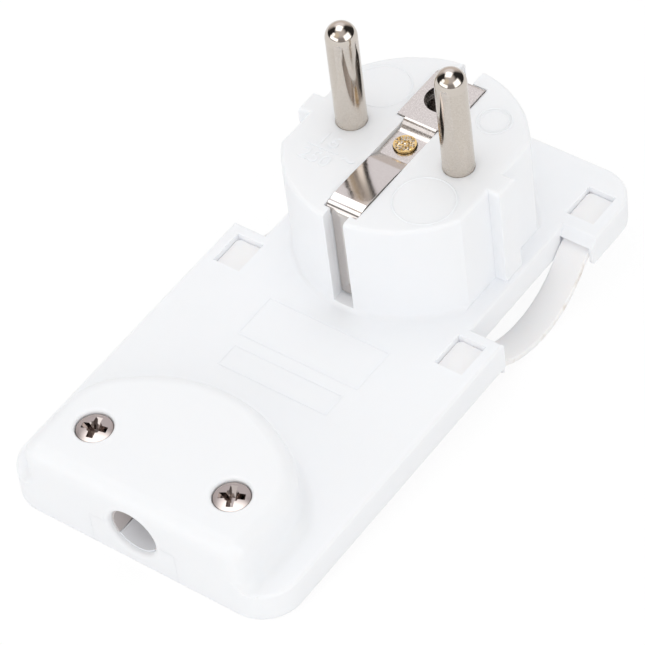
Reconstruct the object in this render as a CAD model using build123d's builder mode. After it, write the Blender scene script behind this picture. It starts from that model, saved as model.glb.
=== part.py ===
from build123d import *
import os
from math import atan, atan2, degrees, sin

# Flat rewireable mains plug: a hollow moulded housing with a round pin head, a domed
# cable end and two soft pull straps, closed at the back by a flat cover.
# Millimetres. +Z points along the contact pins, +Y towards the pin end of the plate.
# The origin lies on the back face, under the axis of the round head.

# Flat plate of the housing
plate_half_width = 24.3
plate_rear = 25.0
plate_front = 69.3
plate_height = 4.8
plate_corner = 6.3
plate_edge_round = 0.5
rim_wall = 1.0
rim_ledge = 0.8
roof_wall = 1.3
front_wall = 3.0

# Round head that enters the socket
head_radius = 18.2
head_height = 18.2
head_flat = 15.9
head_wall = 1.8
head_edge_round = 0.6
head_foot_round = 0.8
face_wall = 2.6
rib_half_width = 2.0
rib_reach = 17.85
slot_half_width = 1.75
slot_step = 0.5
slot_floor = 15.4
slot_wall = 1.4

# Dome over the cord grip: straight sides, two shoulder arcs and one crown arc
dome_half_width = 19.3
dome_rise = 8.4
dome_crown = 44.8
dome_crown_rise = 13.7
dome_shoulder_radius = 10.0
dome_front_corner = 2.5
dome_edge_round = 2.5
dome_foot_round = 2.0
dome_wall = 1.7

# Cable entry in the cable end
entry_radius = 4.0
entry_height = 5.85
entry_lip = 0.8
tongue_half_width = 7.5
tongue_seam = 0.01
tongue_gap = 0.015

# Recesses in the long sides, and the tabs beside them that hold the straps
recess_depth = 5.7
recess_rear_top = 12.1
recess_rear_low = 10.9
recess_front = 12.4
bridge_thickness = 1.55
pocket_undercut = 1.2
pocket_end = 20.7
pocket_wall = 1.2
tab_wall = 0.6
tab_tip_round = 0.5
window_undercut = 1.0
window_edge = 1.9
window_near = 14.2
window_far = 20.4

# Back cover
cover_thickness = 1.2
cover_relief = 14.8
cover_waist_wall = 1.4
cover_gap = 0.1

# Soft straps
strap_thickness = 1.0
strap_inner_gap = 0.2
strap_outer_gap = 0.12
strap_edge_round = 0.2
strap_seat_height = 2.6
strap_sag = 6.75
strap_lowest_y = -1.0
strap_rear_bend_start = 14.2
strap_rear_shoulder = 6.9
strap_front_bend_start = 16.6
strap_front_shoulder = 4.0
strap_head_height = 3.7
strap_head_gap = 0.35
strap_head_round = 1.5
strap_floor_gap = 0.15

# Contact pins
pin_radius = 2.4
pin_length = 19.0
pin_pitch = 19.0
pin_root_step = 0.35
pin_face_lip = 0.15
pin_bore_gap = 0.05
pin_collar_radius = 3.7

# Terminals on the inner ends of the pins and of the earth post
collar_height = 2.0
terminal_radius = 3.1
terminal_length = 5.5
terminal_screw_radius = 1.5
terminal_screw_grip = 4.5
terminal_hole_depth = 5.0
terminal_head_radius = 2.6
terminal_head_height = 1.8
terminal_slot_width = 0.8
terminal_slot_depth = 0.9
washer_radius = 3.5
washer_thickness = 0.8
thread_gap = 0.05
hold_down_radius = 2.2
hold_down_gap = 0.15

# Earth clip, folded from one strip
clip_thickness = 0.6
clip_half_width = 2.8
clip_plate_half_width = 4.25
clip_arm_half_width = 1.65
clip_channel_gap = 0.1
clip_channel_depth = 1.3
clip_front_gap = 0.1
clip_step_start = 2.8
clip_step_end = 4.0
clip_plate_start = 4.3
clip_plate_end = 14.95
clip_plate_sink = 0.3
clip_plate_gap = 0.1
clip_rest_end = 3.0
clip_spring_start = 5.0
clip_spring_rise = 0.3
clip_spring_bend = 2.0
clip_spring_middle = 9.3
clip_spring_bulge = 0.1
clip_spring_sweep = 50.0
clip_fold = 13.6
clip_fold_bend = 0.7
clip_step_bend = 2.2
clip_crease = 14.7
clip_crease_rise = 0.0
clip_crease_bend = 0.4
clip_front_bend = 0.9
clip_rear_bend = 0.45
clip_lip_gap = 0.05
clip_arm_gap = 0.2
clip_arm_foot_gap = 0.8
clip_plan_round = 0.15
clip_shoulder_top = 0.3
clip_shoulder_drop = 0.9

# Earth post and the sleeve for a socket's earth pin
post_radius = 1.75
post_hole_radius = 1.85
post_collar_radius = 3.2
post_end_rise = 0.45
earth_hole_y = 10.0
earth_hole_radius = 2.9
earth_collar_wall = 0.4
earth_collar_depth = 1.0
sleeve_inner_radius = 2.6
sleeve_wall = 0.5
sleeve_length = 12.0
sleeve_split = 0.9
sleeve_gap = 0.05
sleeve_drop = 0.3
earth_tube_wall = 1.2
earth_tube_floor = 1.0

# Screws that hold the housing and the cover together
housing_screw_x = 12.1
housing_screw_y = -60.6
housing_screw_radius = 1.5
housing_screw_head_radius = 2.75
housing_screw_crown = 0.65
housing_screw_sink = 1.0
housing_hole_lip = 0.5
housing_screw_end = 2.4
housing_screw_gap = 0.1
housing_boss_wall = 1.5
housing_boss_split = 9.4
cross_slot_width = 0.75
cross_slot_length = 3.4
cross_slot_depth = 1.5

# Cord grip
grip_y = -55.0
grip_screw_x = 6.8
grip_screw_radius = 1.3
grip_screw_head_radius = 2.4
grip_screw_depth = 5.0
grip_bar_width = 5.2
grip_bar_thickness = 1.8
grip_bar_overhang = 2.6
grip_bar_clearance = 0.3
grip_boss_radius = 2.3
grip_ridge_radius = 0.6

# Heights and places that follow from the sizes above
cut_margin = 1.0
plate_length = plate_rear + plate_front
plate_middle = (plate_rear - plate_front) / 2
roof_under = plate_height - roof_wall
face = plate_height + head_height
face_under = face - face_wall
dome_top = plate_height + dome_rise
dome_under = dome_top - dome_wall
dome_shoulder = dome_crown + dome_crown_rise
bridge_under = plate_height - bridge_thickness
recess_wall_x = plate_half_width - recess_depth
pocket_inner_x = recess_wall_x - pocket_undercut
pocket_outer_x = plate_half_width - tab_wall
window_inner_x = recess_wall_x - window_undercut
window_outer_x = plate_half_width - window_edge
cavity_waist = pocket_inner_x - pocket_wall
cavity_tab_end = pocket_end + pocket_wall
cover_waist = recess_wall_x - cover_waist_wall
channel_half_width = clip_half_width + clip_channel_gap
channel_floor = face - clip_channel_depth
post_end = channel_floor + clip_thickness + post_end_rise
channel_front = slot_floor + clip_arm_gap + clip_thickness + clip_front_gap
channel_rear = clip_step_end + clip_thickness
slot_rear_floor = clip_plate_end - clip_thickness - clip_arm_gap
pin_root_radius = pin_radius + pin_root_step
pin_root_top = face - pin_face_lip
collar_under = face_under - collar_height
tongue_height = entry_height - tongue_seam
terminal_end = collar_under - terminal_length
washer_under = terminal_end - washer_thickness
terminal_head_under = washer_under - terminal_head_height
sleeve_outer_radius = sleeve_inner_radius + sleeve_wall
sleeve_top = face - earth_collar_depth - sleeve_drop
sleeve_bottom = sleeve_top - sleeve_length
earth_tube_radius = sleeve_outer_radius + sleeve_gap + earth_tube_wall
housing_head_rim = dome_top - housing_screw_sink
housing_cone = housing_screw_head_radius - housing_screw_radius
housing_boss_radius = housing_screw_radius + housing_boss_wall
grip_bar_under = cover_thickness + grip_bar_clearance
grip_bar_top = grip_bar_under + grip_bar_thickness
grip_cone = grip_screw_head_radius - grip_screw_radius
housing_screw_places = [(-housing_screw_x, housing_screw_y), (housing_screw_x, housing_screw_y)]
grip_screw_places = [(-grip_screw_x, grip_y), (grip_screw_x, grip_y)]
pin_places = {"live": (-pin_pitch / 2, 0), "neutral": (pin_pitch / 2, 0)}
terminal_places = {**pin_places, "earth": (0, 0)}

os.makedirs("parts", exist_ok=True)

# Outline of the plate, shared by the housing and the cover
with BuildSketch() as plate_outline:
    with Locations((0, plate_middle)):
        RectangleRounded(2 * plate_half_width, plate_length, plate_corner)

# Outline of the dome. The crown arc is tangent to both shoulder arcs.
shoulder_x = dome_half_width - dome_shoulder_radius
crown_reach = dome_half_width**2 + dome_crown_rise**2 - 2 * dome_half_width * dome_shoulder_radius
crown_radius = crown_reach / (2 * (dome_crown_rise - dome_shoulder_radius))
crown_centre = -dome_crown - crown_radius
shoulder_turn = degrees(atan2(-dome_shoulder - crown_centre, shoulder_x))
with BuildSketch() as dome_outline:
    with BuildLine():
        Polyline(
            (-dome_half_width, -dome_shoulder),
            (-dome_half_width, -plate_front),
            (dome_half_width, -plate_front),
            (dome_half_width, -dome_shoulder),
        )
        CenterArc((shoulder_x, -dome_shoulder), dome_shoulder_radius, 0, shoulder_turn)
        CenterArc((0, crown_centre), crown_radius, shoulder_turn, 180 - 2 * shoulder_turn)
        CenterArc((-shoulder_x, -dome_shoulder), dome_shoulder_radius, 180 - shoulder_turn, shoulder_turn)
    make_face()
    fillet(dome_outline.vertices().group_by(Axis.Y)[0], dome_front_corner)


def cover_outline(gap):
    """Outline of the cover or of its seat: inside the rim, and narrow between the tabs."""
    with BuildSketch() as outline:
        add(plate_outline.sketch)
        offset(amount=-(rim_wall + gap))
        for side in (-1, 1):
            with Locations((side * (cover_waist - gap + plate_half_width / 2), 0)):
                Rectangle(plate_half_width, 2 * (cover_relief + gap), mode=Mode.SUBTRACT)
    return outline.sketch


# Hollow of the cable entry: a bore with a rounded mouth
with BuildPart() as entry_form:
    with BuildSketch(Plane.XY.offset(entry_height)):
        with BuildLine():
            Polyline(
                (entry_radius, -plate_front + entry_lip),
                (entry_radius, -plate_front + front_wall + cut_margin),
                (0, -plate_front + front_wall + cut_margin),
                (0, -plate_front - cut_margin),
                (entry_radius + entry_lip, -plate_front - cut_margin),
                (entry_radius + entry_lip, -plate_front),
            )
            CenterArc((entry_radius + entry_lip, -plate_front + entry_lip), entry_lip, 180, 90)
        make_face()
    revolve(axis=Axis((0, 0, entry_height), (0, 1, 0)))

# Hollow curve at the foot of the round sides of the head
with BuildPart() as head_foot:
    with BuildSketch(Plane.XZ):
        with BuildLine():
            CenterArc((head_radius + head_foot_round, plate_height + head_foot_round), head_foot_round, 180, 90)
            Polyline(
                (head_radius + head_foot_round, plate_height),
                (head_radius + head_foot_round, roof_under),
                (head_radius - head_foot_round, roof_under),
                (head_radius - head_foot_round, plate_height + head_foot_round),
                (head_radius, plate_height + head_foot_round),
            )
        make_face()
    revolve(axis=Axis.Z)
    with BuildSketch(Plane.XY.offset(roof_under)):
        Rectangle(2 * head_flat, 3 * head_radius)
    extrude(amount=roof_wall + 2 * head_foot_round, mode=Mode.INTERSECT)

# Dome with a rounded edge
with BuildPart() as dome_form:
    with BuildSketch(Plane.XY.offset(roof_under)):
        add(dome_outline.sketch)
    extrude(amount=dome_top - roof_under)
    fillet(dome_form.faces().sort_by(Axis.Z)[-1].edges(), dome_edge_round)

# Hollow curve at the foot of the dome, cut off where it would pass the edge of the plate
with BuildPart() as dome_foot:
    corner_x = dome_half_width - dome_front_corner
    corner_y = -plate_front + dome_front_corner
    with BuildLine() as foot_path:
        CenterArc((corner_x, corner_y), dome_front_corner, -90, 90)
        Line((dome_half_width, corner_y), (dome_half_width, -dome_shoulder))
        CenterArc((shoulder_x, -dome_shoulder), dome_shoulder_radius, 0, shoulder_turn)
        CenterArc((0, crown_centre), crown_radius, shoulder_turn, 180 - 2 * shoulder_turn)
        CenterArc((-shoulder_x, -dome_shoulder), dome_shoulder_radius, 180 - shoulder_turn, shoulder_turn)
        Line((-dome_half_width, -dome_shoulder), (-dome_half_width, corner_y))
        CenterArc((-corner_x, corner_y), dome_front_corner, 180, 90)
    with BuildSketch(Plane((corner_x, -plate_front, plate_height), (0, -1, 0), (-1, 0, 0))):
        with BuildLine():
            CenterArc((dome_foot_round, dome_foot_round), dome_foot_round, 180, 90)
            Polyline(
                (dome_foot_round, 0),
                (dome_foot_round, -plate_edge_round),
                (-dome_front_corner / 2, -plate_edge_round),
                (-dome_front_corner / 2, dome_foot_round),
                (0, dome_foot_round),
            )
        make_face()
    sweep(path=foot_path.wires()[0])
    with BuildSketch():
        add(plate_outline.sketch)
    extrude(amount=dome_top, mode=Mode.INTERSECT)

# Hollow of a housing screw: clearance, countersink, and a recess with a rounded edge
hole_radius = housing_screw_radius + housing_screw_gap
recess_radius = housing_screw_head_radius + housing_screw_gap
with BuildPart() as screw_hole_form:
    with BuildSketch(Plane.XZ):
        with BuildLine():
            Polyline(
                (recess_radius, dome_top - housing_hole_lip),
                (recess_radius, housing_head_rim),
                (hole_radius, housing_head_rim - housing_cone),
                (hole_radius, housing_boss_split - cut_margin),
                (0, housing_boss_split - cut_margin),
                (0, dome_top + cut_margin),
                (recess_radius + housing_hole_lip, dome_top + cut_margin),
                (recess_radius + housing_hole_lip, dome_top),
            )
            CenterArc((recess_radius + housing_hole_lip, dome_top - housing_hole_lip), housing_hole_lip, 90, 90)
        make_face()
    revolve(axis=Axis.Z)

# Front housing
with BuildPart() as front_housing:
    # Plate with its side recesses. The rear end of each recess leans back
    # and its lower tips are round.
    with BuildSketch():
        add(plate_outline.sketch)
    extrude(amount=plate_height)
    for side in (-1, 1):
        with BuildSketch(Plane.YZ.offset(side * recess_wall_x)):
            with BuildLine():
                Polyline(
                    (recess_rear_low + tab_tip_round, 0),
                    (recess_rear_low + tab_tip_round, -cut_margin),
                    (-recess_front, -cut_margin),
                    (-recess_front, plate_height + cut_margin),
                    (recess_rear_top, plate_height + cut_margin),
                    (recess_rear_top, plate_height),
                    (recess_rear_low, bridge_under),
                    (recess_rear_low, tab_tip_round),
                )
                CenterArc((recess_rear_low + tab_tip_round, tab_tip_round), tab_tip_round, 180, 90)
            make_face()
        extrude(amount=side * plate_half_width, mode=Mode.SUBTRACT)
    fillet(front_housing.faces().sort_by(Axis.Z)[-1].edges(), plate_edge_round)

    # Head with two flats and a guide rib on each flat
    with BuildSketch(Plane.XY.offset(roof_under)):
        Circle(head_radius)
        Rectangle(2 * head_flat, 3 * head_radius, mode=Mode.INTERSECT)
        Rectangle(2 * rib_reach, 2 * rib_half_width)
    extrude(amount=face - roof_under)
    fillet(front_housing.faces().sort_by(Axis.Z)[-1].edges(), head_edge_round)
    add(head_foot.part)
    add(dome_form.part)
    add(dome_foot.part)

    # Seat of the cover, room for the wires, and the hollows of the head and the dome
    with BuildSketch():
        add(cover_outline(0))
    extrude(amount=cover_thickness, mode=Mode.SUBTRACT)
    with BuildSketch():
        add(plate_outline.sketch)
        offset(amount=-(rim_wall + rim_ledge))
        for side in (-1, 1):
            with Locations((side * (cavity_waist + plate_half_width / 2), 0)):
                Rectangle(plate_half_width, 2 * cavity_tab_end, mode=Mode.SUBTRACT)
        with Locations((0, -plate_front)):
            Rectangle(2 * plate_half_width, 2 * front_wall, mode=Mode.SUBTRACT)
    extrude(amount=roof_under, mode=Mode.SUBTRACT)
    with BuildSketch():
        Circle(head_radius - head_wall)
        with Locations((0, (slot_rear_floor - slot_floor) / 2)):
            Rectangle(
                2 * (head_flat - head_wall),
                slot_floor + slot_rear_floor - 2 * slot_wall,
                mode=Mode.INTERSECT,
            )
    extrude(amount=face_under, mode=Mode.SUBTRACT)
    with BuildSketch(Plane.XY.offset(cover_thickness)):
        add(dome_outline.sketch)
        offset(amount=-dome_wall)
        with Locations((0, -plate_front)):
            Rectangle(2 * plate_half_width, 2 * front_wall, mode=Mode.SUBTRACT)
    extrude(amount=dome_under - cover_thickness, mode=Mode.SUBTRACT)

    # Strap pockets in the four tabs, each with a way out below and a window above
    for side in (-1, 1):
        for end, mouth in ((-1, recess_front), (1, recess_rear_low)):
            with BuildSketch(Plane.XY.offset(cover_thickness)):
                with Locations((side * (pocket_inner_x + pocket_outer_x) / 2, end * (mouth + pocket_end) / 2)):
                    Rectangle(pocket_outer_x - pocket_inner_x, pocket_end - mouth)
            extrude(amount=bridge_under - cover_thickness, mode=Mode.SUBTRACT)
            with BuildSketch():
                with Locations((side * (recess_wall_x + pocket_outer_x) / 2, end * (mouth + cover_relief) / 2)):
                    Rectangle(pocket_outer_x - recess_wall_x, cover_relief - mouth)
            extrude(amount=cover_thickness, mode=Mode.SUBTRACT)
            with BuildSketch(Plane.XY.offset(bridge_under)):
                with Locations(
                    (side * (window_inner_x + window_outer_x) / 2, end * (window_near + window_far) / 2)
                ):
                    Rectangle(window_outer_x - window_inner_x, window_far - window_near)
            extrude(amount=bridge_thickness, mode=Mode.SUBTRACT)

    # Cable entry: a notch for the tongue of the cover, and the upper half of the bore
    with BuildSketch(Plane.XZ.offset(plate_front)):
        with Locations((0, entry_height / 2)):
            Rectangle(2 * tongue_half_width, entry_height)
    extrude(amount=-front_wall, mode=Mode.SUBTRACT)
    add(entry_form.part, mode=Mode.SUBTRACT)

    # Tubes round the housing screws, bosses of the cord grip, and the tube of the earth sleeve
    with BuildSketch(Plane.XY.offset(housing_boss_split)):
        with Locations(*housing_screw_places):
            Circle(housing_boss_radius)
    extrude(amount=dome_under + dome_wall / 2 - housing_boss_split)
    with BuildSketch(Plane.XY.offset(grip_bar_top)):
        with Locations(*grip_screw_places):
            Circle(grip_boss_radius)
    extrude(amount=dome_under + dome_wall / 2 - grip_bar_top)
    with BuildSketch(Plane.XY.offset(sleeve_bottom - earth_tube_floor)):
        with Locations((0, earth_hole_y)):
            Circle(earth_tube_radius)
    extrude(amount=face_under + face_wall / 2 - sleeve_bottom + earth_tube_floor)

    # Channel and shallow seat for the clip across the face, and the slots for its arms
    with BuildSketch(Plane.XY.offset(channel_floor)):
        with Locations((0, (channel_rear - channel_front) / 2)):
            Rectangle(2 * channel_half_width, channel_front + channel_rear)
    extrude(amount=clip_channel_depth, mode=Mode.SUBTRACT)
    with BuildSketch(Plane.XY.offset(face - clip_plate_sink)):
        with Locations((0, (clip_plate_start + clip_plate_end) / 2)):
            Rectangle(
                2 * (clip_plate_half_width + clip_plate_gap),
                clip_plate_end - clip_plate_start + 2 * clip_plate_gap,
            )
    extrude(amount=clip_plate_sink, mode=Mode.SUBTRACT)
    with BuildSketch(Plane.XY.offset(plate_height + slot_step)):
        for end, floor in ((-1, slot_floor), (1, slot_rear_floor)):
            with Locations((0, end * (floor + head_radius / 2))):
                Rectangle(2 * slot_half_width, head_radius)
    extrude(amount=head_height - slot_step, mode=Mode.SUBTRACT)

    # Holes in the face: pins and their wider roots, earth post, and the way in for a socket's earth pin
    with BuildSketch(Plane.XY.offset(face_under - cut_margin)):
        with Locations(*pin_places.values()):
            Circle(pin_radius + pin_bore_gap)
        Circle(post_radius + pin_bore_gap)
    extrude(amount=face_wall + 2 * cut_margin, mode=Mode.SUBTRACT)
    with BuildSketch(Plane.XY.offset(face_under - cut_margin)):
        with Locations(*pin_places.values()):
            Circle(pin_root_radius + pin_bore_gap)
    extrude(amount=pin_root_top - face_under + cut_margin, mode=Mode.SUBTRACT)
    with BuildSketch(Plane.XY.offset(sleeve_bottom)):
        with Locations((0, earth_hole_y)):
            Circle(sleeve_outer_radius + sleeve_gap)
    extrude(amount=face - sleeve_bottom, mode=Mode.SUBTRACT)
    with BuildSketch(Plane.XY.offset(face - earth_collar_depth - sleeve_drop)):
        with Locations((0, earth_hole_y)):
            Circle(earth_hole_radius + earth_collar_wall + clip_channel_gap)
    extrude(amount=earth_collar_depth + sleeve_drop, mode=Mode.SUBTRACT)

    # Screw holes: countersunk through the dome, blind in the grip bosses
    with Locations(*housing_screw_places):
        add(screw_hole_form.part, mode=Mode.SUBTRACT)
    with BuildSketch(Plane.XY.offset(grip_bar_top)):
        with Locations(*grip_screw_places):
            Circle(grip_screw_radius + thread_gap)
    extrude(amount=grip_screw_depth, mode=Mode.SUBTRACT)
front_housing.part.label = "front_housing"
export_step(front_housing.part, "parts/front_housing.step")

# Back cover with the tongue of the cable entry, screw bosses and hold-down posts
with BuildPart() as back_cover:
    with BuildSketch():
        add(cover_outline(cover_gap))
    extrude(amount=cover_thickness)
    with BuildSketch(Plane.XZ.offset(plate_front)):
        with Locations((0, tongue_height / 2)):
            Rectangle(2 * (tongue_half_width - tongue_gap), tongue_height)
    extrude(amount=-front_wall)
    add(entry_form.part, mode=Mode.SUBTRACT)
    with BuildSketch(Plane.XY.offset(cover_thickness)):
        with Locations(*housing_screw_places):
            Circle(housing_boss_radius)
    extrude(amount=housing_boss_split - cover_thickness)
    with BuildSketch(Plane.XY.offset(housing_screw_end)):
        with Locations(*housing_screw_places):
            Circle(housing_screw_radius + thread_gap)
    extrude(amount=housing_boss_split - housing_screw_end, mode=Mode.SUBTRACT)
    with BuildSketch(Plane.XY.offset(cover_thickness)):
        with Locations(*terminal_places.values()):
            Circle(hold_down_radius)
    extrude(amount=terminal_head_under - hold_down_gap - cover_thickness)
back_cover.part.label = "back_cover"
export_step(back_cover.part, "parts/back_cover.step")

# Contact pins: round tip, a root that fills the hole in the face, a collar and a tapped inner end
for name, place in pin_places.items():
    with BuildPart() as pin:
        with BuildSketch(Plane.XZ):
            with BuildLine():
                Polyline(
                    (pin_radius, face + pin_length - pin_radius),
                    (pin_radius, pin_root_top),
                    (pin_root_radius, pin_root_top),
                    (pin_root_radius, face_under),
                    (pin_collar_radius, face_under),
                    (pin_collar_radius, collar_under),
                    (terminal_radius, collar_under),
                    (terminal_radius, terminal_end),
                    (terminal_screw_radius + thread_gap, terminal_end),
                    (terminal_screw_radius + thread_gap, terminal_end + terminal_hole_depth),
                    (0, terminal_end + terminal_hole_depth),
                    (0, face + pin_length),
                )
                CenterArc((0, face + pin_length - pin_radius), pin_radius, 0, 90)
            make_face()
        revolve(axis=Axis.Z)
    placed_pin = pin.part.moved(Location((*place, 0)))
    placed_pin.label = f"{name}_pin"
    export_step(placed_pin, f"parts/{name}_pin.step")

# Earth post: its upper end stands a little proud of the small hole of the clip
with BuildPart() as earth_post:
    with BuildSketch(Plane.XZ):
        with BuildLine():
            Polyline(
                (0, post_end),
                (post_radius, post_end),
                (post_radius, face_under),
                (post_collar_radius, face_under),
                (post_collar_radius, collar_under),
                (terminal_radius, collar_under),
                (terminal_radius, terminal_end),
                (terminal_screw_radius + thread_gap, terminal_end),
                (terminal_screw_radius + thread_gap, terminal_end + terminal_hole_depth),
                (0, terminal_end + terminal_hole_depth),
                close=True,
            )
        make_face()
    revolve(axis=Axis.Z)
earth_post.part.label = "earth_post"
export_step(earth_post.part, "parts/earth_post.step")

# Clamp washer and slotted screw under each terminal
for name, place in terminal_places.items():
    with BuildPart() as clamp_washer:
        with BuildSketch(Plane.XY.offset(washer_under)):
            with Locations(place):
                Circle(washer_radius)
                Circle(terminal_screw_radius + thread_gap, mode=Mode.SUBTRACT)
        extrude(amount=washer_thickness)
    clamp_washer.part.label = f"{name}_clamp_washer"
    export_step(clamp_washer.part, f"parts/{name}_clamp_washer.step")

    with BuildPart() as terminal_screw:
        with BuildSketch(Plane.XY.offset(terminal_head_under)):
            with Locations(place):
                Circle(terminal_head_radius)
        extrude(amount=terminal_head_height)
        with BuildSketch(Plane.XY.offset(washer_under)):
            with Locations(place):
                Circle(terminal_screw_radius)
        extrude(amount=washer_thickness + terminal_screw_grip)
        with BuildSketch(Plane.XY.offset(terminal_head_under)):
            with Locations(place):
                Rectangle(3 * terminal_head_radius, terminal_slot_width)
        extrude(amount=terminal_slot_depth, mode=Mode.SUBTRACT)
    terminal_screw.part.label = f"{name}_terminal_screw"
    export_step(terminal_screw.part, f"parts/{name}_terminal_screw.step")

# Earth clip: one strip that runs across the face, stepped up to the earth-pin plate,
# with a creased front fold, a turned-down rear edge and an arm down each slot
front_arm_y = slot_floor + clip_arm_gap + clip_thickness / 2
rear_arm_y = clip_plate_end - clip_thickness / 2
arm_foot = plate_height + clip_arm_foot_gap
rest_level = channel_floor + clip_thickness / 2
plate_level = face - clip_plate_sink + clip_thickness / 2
spring_level = face + clip_spring_rise - clip_thickness / 2
crease_level = face + clip_crease_rise - clip_thickness / 2
clip_path = [
    (-front_arm_y, arm_foot, 0),
    (-front_arm_y, crease_level, clip_front_bend),
    (-clip_crease, crease_level, clip_crease_bend),
    (-clip_fold, spring_level, clip_fold_bend),
    (-clip_spring_middle, spring_level + clip_spring_bulge, clip_spring_sweep),
    (-clip_spring_start, spring_level - clip_spring_rise, clip_spring_bend),
    (-clip_rest_end, rest_level, clip_fold_bend),
    (clip_step_start, rest_level, clip_step_bend),
    (clip_step_end, plate_level, clip_fold_bend),
    (rear_arm_y, plate_level, clip_rear_bend),
    (rear_arm_y, arm_foot, 0),
]


def beside(path, distance):
    """Points of a path moved sideways by a distance, each with its bend radius."""
    moved = []
    for i, (y, z, bend) in enumerate(path):
        here = Vector(y, z)
        into = (here - Vector(*path[i - 1][:2])).normalized() if i > 0 else None
        out = (Vector(*path[i + 1][:2]) - here).normalized() if i + 1 < len(path) else None
        into = into or out
        out = out or into
        aside = (Vector(-into.Y, into.X) + Vector(-out.Y, out.X)).normalized()
        stretch = distance / aside.dot(Vector(-into.Y, into.X))
        turn = into.X * out.Y - into.Y * out.X
        inner = turn * distance > 0
        radius = bend + (-abs(distance) if inner else abs(distance)) if bend else 0
        moved.append((here + aside * stretch, radius))
    return moved


clip_sides = beside(clip_path, clip_thickness / 2) + beside(clip_path, -clip_thickness / 2)[::-1]
with BuildPart() as earth_clip:
    with BuildSketch(Plane.YZ) as clip_section:
        with BuildLine():
            Polyline(*[point for point, radius in clip_sides], close=True)
        make_face()
        for point, radius in clip_sides:
            if radius:
                fillet(clip_section.vertices().sort_by_distance(point)[0], radius)
    extrude(amount=clip_plate_half_width, both=True)
    # Widths seen from above
    with BuildSketch(Plane.XY.offset(plate_height)) as clip_plan:
        with Locations((0, (clip_plate_start - head_radius) / 2)):
            Rectangle(2 * clip_half_width, head_radius + clip_plate_start)
        with Locations((0, (clip_plate_start + head_radius) / 2)):
            Rectangle(2 * clip_plate_half_width, head_radius - clip_plate_start)
        fillet(clip_plan.vertices().group_by(Axis.Y)[1:-1], clip_plan_round)
        with Locations((0, earth_hole_y)):
            Circle(earth_hole_radius, mode=Mode.SUBTRACT)
        Circle(post_hole_radius, mode=Mode.SUBTRACT)
    extrude(amount=head_height + 2 * cut_margin, mode=Mode.INTERSECT)
    # Below the front fold the strip tapers to the width of the arm
    for side in (-1, 1):
        with BuildSketch(Plane.XZ.offset(clip_crease + clip_thickness)):
            with BuildLine():
                Polyline(
                    (side * clip_arm_half_width, plate_height),
                    (side * clip_arm_half_width, face - clip_shoulder_top - clip_shoulder_drop),
                    (side * clip_half_width, face - clip_shoulder_top),
                    (side * 2 * clip_half_width, face - clip_shoulder_top),
                    (side * 2 * clip_half_width, plate_height),
                    close=True,
                )
            make_face()
        extrude(amount=head_radius, mode=Mode.SUBTRACT)
    # The turned-down rear edge ends above its seat, except for the arm
    for side in (-1, 1):
        with BuildSketch(Plane.XY.offset(plate_height)):
            with Locations((side * (clip_arm_half_width + clip_plate_half_width), clip_plate_end)):
                Rectangle(2 * clip_plate_half_width, 2 * (clip_thickness + clip_arm_gap))
        extrude(amount=head_height - clip_plate_sink + clip_lip_gap, mode=Mode.SUBTRACT)
    # Drawn collar under the large hole
    with BuildSketch(Plane.XY.offset(face - earth_collar_depth)):
        with Locations((0, earth_hole_y)):
            Circle(earth_hole_radius + earth_collar_wall)
            Circle(earth_hole_radius, mode=Mode.SUBTRACT)
    extrude(amount=earth_collar_depth - clip_plate_sink + clip_thickness / 2)
earth_clip.part.label = "earth_clip"
export_step(earth_clip.part, "parts/earth_clip.step")

# Sleeve that grips a socket's earth pin, rolled from strip and split along one side
with BuildPart() as earth_socket:
    with BuildSketch(Plane.XY.offset(sleeve_bottom)):
        with Locations((0, earth_hole_y)):
            Circle(sleeve_outer_radius)
            Circle(sleeve_inner_radius, mode=Mode.SUBTRACT)
        with Locations((0, earth_hole_y - sleeve_outer_radius)):
            Rectangle(sleeve_split, 2 * sleeve_outer_radius, mode=Mode.SUBTRACT)
    extrude(amount=sleeve_length)
earth_socket.part.label = "earth_socket"
export_step(earth_socket.part, "parts/earth_socket.step")

# Housing screws: countersunk, with a raised crown and a cross recess
crown_ball = (housing_screw_head_radius**2 + housing_screw_crown**2) / (2 * housing_screw_crown)
for name, place in zip(("left", "right"), housing_screw_places):
    with BuildPart() as housing_screw:
        with BuildSketch(Plane.XZ):
            with BuildLine():
                Polyline(
                    (0, housing_head_rim + housing_screw_crown),
                    (0, housing_screw_end),
                    (housing_screw_radius, housing_screw_end),
                    (housing_screw_radius, housing_head_rim - housing_cone),
                    (housing_screw_head_radius, housing_head_rim),
                )
                RadiusArc(
                    (housing_screw_head_radius, housing_head_rim),
                    (0, housing_head_rim + housing_screw_crown),
                    -crown_ball,
                )
            make_face()
        revolve(axis=Axis.Z)
        with BuildSketch(Plane.XY.offset(housing_head_rim + housing_screw_crown)):
            Rectangle(cross_slot_length, cross_slot_width)
            Rectangle(cross_slot_width, cross_slot_length)
        extrude(amount=-cross_slot_depth, mode=Mode.SUBTRACT)
    placed_screw = housing_screw.part.moved(Location((*place, 0)))
    placed_screw.label = f"housing_screw_{name}"
    export_step(placed_screw, f"parts/housing_screw_{name}.step")

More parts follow.
